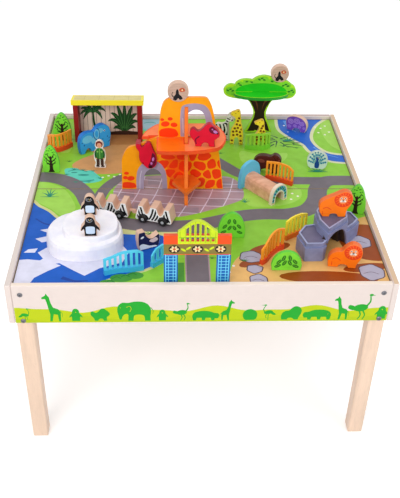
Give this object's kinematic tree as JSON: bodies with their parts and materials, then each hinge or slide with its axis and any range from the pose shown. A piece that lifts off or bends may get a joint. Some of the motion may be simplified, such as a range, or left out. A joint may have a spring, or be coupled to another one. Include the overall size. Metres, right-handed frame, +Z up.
{
  "type": "children's play table with zoo play set",
  "caption": "Low wooden children's play table with a printed two-part top and a loose zoo set of animals, rocks, fences, gate, shelter and a rolling train.",
  "frame": {"origin": "floor level under the middle of the table", "axes": "+Z up, +X to the right and -Y towards the side with the bolted front rail"},
  "size_m": [0.8, 0.7827, 0.7238],
  "materials": {
    "acacia_panel": "printed and varnished",
    "acacia_shelf": "printed and varnished",
    "baboon_left": "painted, glossy",
    "baboon_right": "painted, glossy",
    "bear": "printed and varnished",
    "board_back": "printed and varnished",
    "board_front": "printed and varnished",
    "bolt_left_lower": "zinc plated",
    "bolt_left_upper": "zinc plated",
    "bolt_right_lower": "zinc plated",
    "bolt_right_upper": "zinc plated",
    "bush_front": "printed and varnished",
    "bush_gate": "printed and varnished",
    "cave": "moulded, matt",
    "crossbar": "clear lacquered pine",
    "elephant": "printed and varnished",
    "fence_blue_long": "moulded, satin",
    "fence_blue_short": "moulded, satin",
    "fence_green": "moulded, satin",
    "fence_orange_front": "moulded, satin",
    "fence_orange_left": "moulded, satin",
    "fence_orange_middle": "moulded, satin",
    "fence_yellow": "moulded, satin",
    "gate": "printed and varnished",
    "giraffe_small": "printed and varnished",
    "giraffe_tall": "printed and varnished",
    "hippo": "printed and varnished",
    "iceberg": "moulded, satin",
    "keeper": "printed and varnished",
    "leg_back_left": "clear lacquered pine",
    "leg_back_right": "clear lacquered pine",
    "leg_front_left": "clear lacquered pine",
    "leg_front_right": "clear lacquered pine",
    "lion_front": "printed and varnished",
    "lion_top": "printed and varnished",
    "monkey_disc_rock": "printed and varnished",
    "monkey_disc_tree": "printed and varnished",
    "orca": "printed and varnished",
    "peacock": "printed and varnished",
    "penguin_back": "printed and varnished",
    "penguin_front": "printed and varnished",
    "rail_back": "satin cream lacquer",
    "rail_front": "satin cream lacquer",
    "rail_left": "satin cream lacquer",
    "rail_right": "satin cream lacquer",
    "rock_cross": "printed and varnished",
    "rock_panel": "printed and varnished",
    "rock_platform": "printed and varnished",
    "shelter": "painted",
    "tree_back_left": "printed and varnished",
    "tree_front_left": "printed and varnished",
    "tree_right": "printed and varnished",
    "tunnel": "varnished, one portal painted",
    "wagon_1": "varnished, sides printed",
    "wagon_1_wheelset_front": "glossy",
    "wagon_1_wheelset_rear": "glossy",
    "wagon_2": "varnished, sides printed",
    "wagon_2_wheelset_front": "glossy",
    "wagon_2_wheelset_rear": "glossy",
    "zebra": "printed and varnished"
  },
  "bodies": {
    "table": {"board_front": "board_front", "board_back": "board_back", "crossbar": "crossbar", "rail_left": "rail_left", "rail_right": "rail_right", "rail_front": "rail_front", "rail_back": "rail_back", "leg_front_left": "leg_front_left", "leg_front_right": "leg_front_right", "leg_back_left": "leg_back_left", "leg_back_right": "leg_back_right", "bolt_left_upper": "bolt_left_upper", "bolt_left_lower": "bolt_left_lower", "bolt_right_upper": "bolt_right_upper", "bolt_right_lower": "bolt_right_lower"},
    "rock": {"rock_panel": "rock_panel", "rock_cross": "rock_cross", "rock_platform": "rock_platform"},
    "acacia": {"acacia_panel": "acacia_panel", "acacia_shelf": "acacia_shelf"},
    "shelter": {"shelter": "shelter"},
    "gate": {"gate": "gate"},
    "cave": {"cave": "cave"},
    "tunnel": {"tunnel": "tunnel"},
    "iceberg": {"iceberg": "iceberg"},
    "elephant": {"elephant": "elephant"},
    "keeper": {"keeper": "keeper"},
    "tree_back_left": {"tree_back_left": "tree_back_left"},
    "tree_front_left": {"tree_front_left": "tree_front_left"},
    "tree_right": {"tree_right": "tree_right"},
    "bush_gate": {"bush_gate": "bush_gate"},
    "bush_front": {"bush_front": "bush_front"},
    "zebra": {"zebra": "zebra"},
    "giraffe_tall": {"giraffe_tall": "giraffe_tall"},
    "giraffe_small": {"giraffe_small": "giraffe_small"},
    "hippo": {"hippo": "hippo"},
    "peacock": {"peacock": "peacock"},
    "bear": {"bear": "bear"},
    "orca": {"orca": "orca"},
    "lion_front": {"lion_front": "lion_front"},
    "fence_blue_long": {"fence_blue_long": "fence_blue_long"},
    "fence_blue_short": {"fence_blue_short": "fence_blue_short"},
    "fence_orange_left": {"fence_orange_left": "fence_orange_left"},
    "fence_orange_middle": {"fence_orange_middle": "fence_orange_middle"},
    "fence_orange_front": {"fence_orange_front": "fence_orange_front"},
    "fence_yellow": {"fence_yellow": "fence_yellow"},
    "fence_green": {"fence_green": "fence_green"},
    "baboon_right": {"baboon_right": "baboon_right"},
    "monkey_disc_rock": {"monkey_disc_rock": "monkey_disc_rock"},
    "monkey_disc_tree": {"monkey_disc_tree": "monkey_disc_tree"},
    "lion_top": {"lion_top": "lion_top"},
    "penguin_back": {"penguin_back": "penguin_back"},
    "penguin_front": {"penguin_front": "penguin_front"},
    "baboon_left": {"baboon_left": "baboon_left"},
    "wagon_1": {"wagon_1": "wagon_1"},
    "wagon_2": {"wagon_2": "wagon_2"},
    "wagon_1_wheelset_rear": {"wagon_1_wheelset_rear": "wagon_1_wheelset_rear"},
    "wagon_1_wheelset_front": {"wagon_1_wheelset_front": "wagon_1_wheelset_front"},
    "wagon_2_wheelset_rear": {"wagon_2_wheelset_rear": "wagon_2_wheelset_rear"},
    "wagon_2_wheelset_front": {"wagon_2_wheelset_front": "wagon_2_wheelset_front"}
  },
  "joints": [
    {"name": "rock_lift", "type": "slide", "parent": "table", "child": "rock", "axis": [0, 0, 1], "range_m": [0, 0.1]},
    {"name": "acacia_lift", "type": "slide", "parent": "table", "child": "acacia", "axis": [0, 0, 1], "range_m": [0, 0.1]},
    {"name": "shelter_lift", "type": "slide", "parent": "table", "child": "shelter", "axis": [0, 0, 1], "range_m": [0, 0.1]},
    {"name": "gate_lift", "type": "slide", "parent": "table", "child": "gate", "axis": [0, 0, 1], "range_m": [0, 0.1]},
    {"name": "cave_lift", "type": "slide", "parent": "table", "child": "cave", "axis": [0, 0, 1], "range_m": [0, 0.1]},
    {"name": "tunnel_lift", "type": "slide", "parent": "table", "child": "tunnel", "axis": [0, 0, 1], "range_m": [0, 0.1]},
    {"name": "iceberg_lift", "type": "slide", "parent": "table", "child": "iceberg", "axis": [0, 0, 1], "range_m": [0, 0.1]},
    {"name": "elephant_lift", "type": "slide", "parent": "table", "child": "elephant", "axis": [0, 0, 1], "range_m": [0, 0.1]},
    {"name": "keeper_lift", "type": "slide", "parent": "table", "child": "keeper", "axis": [0, 0, 1], "range_m": [0, 0.1]},
    {"name": "tree_back_left_lift", "type": "slide", "parent": "table", "child": "tree_back_left", "axis": [0, 0, 1], "range_m": [0, 0.1]},
    {"name": "tree_front_left_lift", "type": "slide", "parent": "table", "child": "tree_front_left", "axis": [0, 0, 1], "range_m": [0, 0.1]},
    {"name": "tree_right_lift", "type": "slide", "parent": "table", "child": "tree_right", "axis": [0, 0, 1], "range_m": [0, 0.1]},
    {"name": "bush_gate_lift", "type": "slide", "parent": "table", "child": "bush_gate", "axis": [0, 0, 1], "range_m": [0, 0.1]},
    {"name": "bush_front_lift", "type": "slide", "parent": "table", "child": "bush_front", "axis": [0, 0, 1], "range_m": [0, 0.1]},
    {"name": "zebra_lift", "type": "slide", "parent": "table", "child": "zebra", "axis": [0, 0, 1], "range_m": [0, 0.1]},
    {"name": "giraffe_tall_lift", "type": "slide", "parent": "table", "child": "giraffe_tall", "axis": [0, 0, 1], "range_m": [0, 0.1]},
    {"name": "giraffe_small_lift", "type": "slide", "parent": "table", "child": "giraffe_small", "axis": [0, 0, 1], "range_m": [0, 0.1]},
    {"name": "hippo_lift", "type": "slide", "parent": "table", "child": "hippo", "axis": [0, 0, 1], "range_m": [0, 0.05]},
    {"name": "peacock_lift", "type": "slide", "parent": "table", "child": "peacock", "axis": [0, 0, 1], "range_m": [0, 0.1]},
    {"name": "bear_lift", "type": "slide", "parent": "table", "child": "bear", "axis": [0, 0, 1], "range_m": [0, 0.1]},
    {"name": "orca_lift", "type": "slide", "parent": "table", "child": "orca", "axis": [0, 0, 1], "range_m": [0, 0.1]},
    {"name": "lion_front_lift", "type": "slide", "parent": "table", "child": "lion_front", "axis": [0, 0, 1], "range_m": [0, 0.1]},
    {"name": "fence_blue_long_lift", "type": "slide", "parent": "table", "child": "fence_blue_long", "axis": [0, 0, 1], "range_m": [0, 0.1]},
    {"name": "fence_blue_short_lift", "type": "slide", "parent": "table", "child": "fence_blue_short", "axis": [0, 0, 1], "range_m": [0, 0.1]},
    {"name": "fence_orange_left_lift", "type": "slide", "parent": "table", "child": "fence_orange_left", "axis": [0, 0, 1], "range_m": [0, 0.1]},
    {"name": "fence_orange_middle_lift", "type": "slide", "parent": "table", "child": "fence_orange_middle", "axis": [0, 0, 1], "range_m": [0, 0.1]},
    {"name": "fence_orange_front_lift", "type": "slide", "parent": "table", "child": "fence_orange_front", "axis": [0, 0, 1], "range_m": [0, 0.1]},
    {"name": "fence_yellow_lift", "type": "slide", "parent": "table", "child": "fence_yellow", "axis": [0, 0, 1], "range_m": [0, 0.1]},
    {"name": "fence_green_lift", "type": "slide", "parent": "table", "child": "fence_green", "axis": [0, 0, 1], "range_m": [0, 0.1]},
    {"name": "baboon_right_lift", "type": "slide", "parent": "rock", "child": "baboon_right", "axis": [0, 0, 1], "range_m": [0, 0.1]},
    {"name": "monkey_disc_rock_lift", "type": "slide", "parent": "rock", "child": "monkey_disc_rock", "axis": [0, 0, 1], "range_m": [0, 0.1]},
    {"name": "monkey_disc_tree_lift", "type": "slide", "parent": "acacia", "child": "monkey_disc_tree", "axis": [0, 0, 1], "range_m": [0, 0.1]},
    {"name": "lion_top_lift", "type": "slide", "parent": "cave", "child": "lion_top", "axis": [0, 0, 1], "range_m": [0, 0.1]},
    {"name": "penguin_back_lift", "type": "slide", "parent": "iceberg", "child": "penguin_back", "axis": [0, 0, 1], "range_m": [0, 0.1]},
    {"name": "penguin_front_lift", "type": "slide", "parent": "iceberg", "child": "penguin_front", "axis": [0, 0, 1], "range_m": [0, 0.1]},
    {"name": "baboon_left_unhook", "type": "slide", "parent": "rock", "child": "baboon_left", "axis": [-1, 0, 0], "range_m": [0, 0.09]},
    {"name": "train_run", "type": "slide", "parent": "table", "child": "wagon_1", "axis": [0.9744, -0.225, 0], "range_m": [-0.06, 0.06]},
    {"name": "train_hitch", "type": "hinge", "parent": "wagon_1", "child": "wagon_2", "pos_m": [-0.149, -0.1186, 0.4605], "axis": [0, 0, 1], "range_deg": [-15, 15]},
    {"name": "wagon_1_wheelset_rear_roll", "type": "hinge", "parent": "wagon_1", "child": "wagon_1_wheelset_rear", "pos_m": [-0.22305, -0.1015, 0.4573], "axis": [0.225, 0.9744, 0], "continuous": true},
    {"name": "wagon_1_wheelset_front_roll", "type": "hinge", "parent": "wagon_1", "child": "wagon_1_wheelset_front", "pos_m": [-0.17726, -0.11208, 0.4573], "axis": [0.225, 0.9744, 0], "continuous": true},
    {"name": "wagon_2_wheelset_rear_roll", "type": "hinge", "parent": "wagon_2", "child": "wagon_2_wheelset_rear", "pos_m": [-0.12237, -0.12725, 0.4573], "axis": [0.309, 0.9511, 0], "continuous": true},
    {"name": "wagon_2_wheelset_front_roll", "type": "hinge", "parent": "wagon_2", "child": "wagon_2_wheelset_front", "pos_m": [-0.07767, -0.14178, 0.4573], "axis": [0.309, 0.9511, 0], "continuous": true}
  ],
  "couplings": [
    {"joint": "wagon_1_wheelset_rear_roll", "follows": "train_run", "rad_per_m": 100},
    {"joint": "wagon_1_wheelset_front_roll", "follows": "train_run", "rad_per_m": 100},
    {"joint": "wagon_2_wheelset_rear_roll", "follows": "train_run", "rad_per_m": 99.62},
    {"joint": "wagon_2_wheelset_front_roll", "follows": "train_run", "rad_per_m": 99.62}
  ]
}
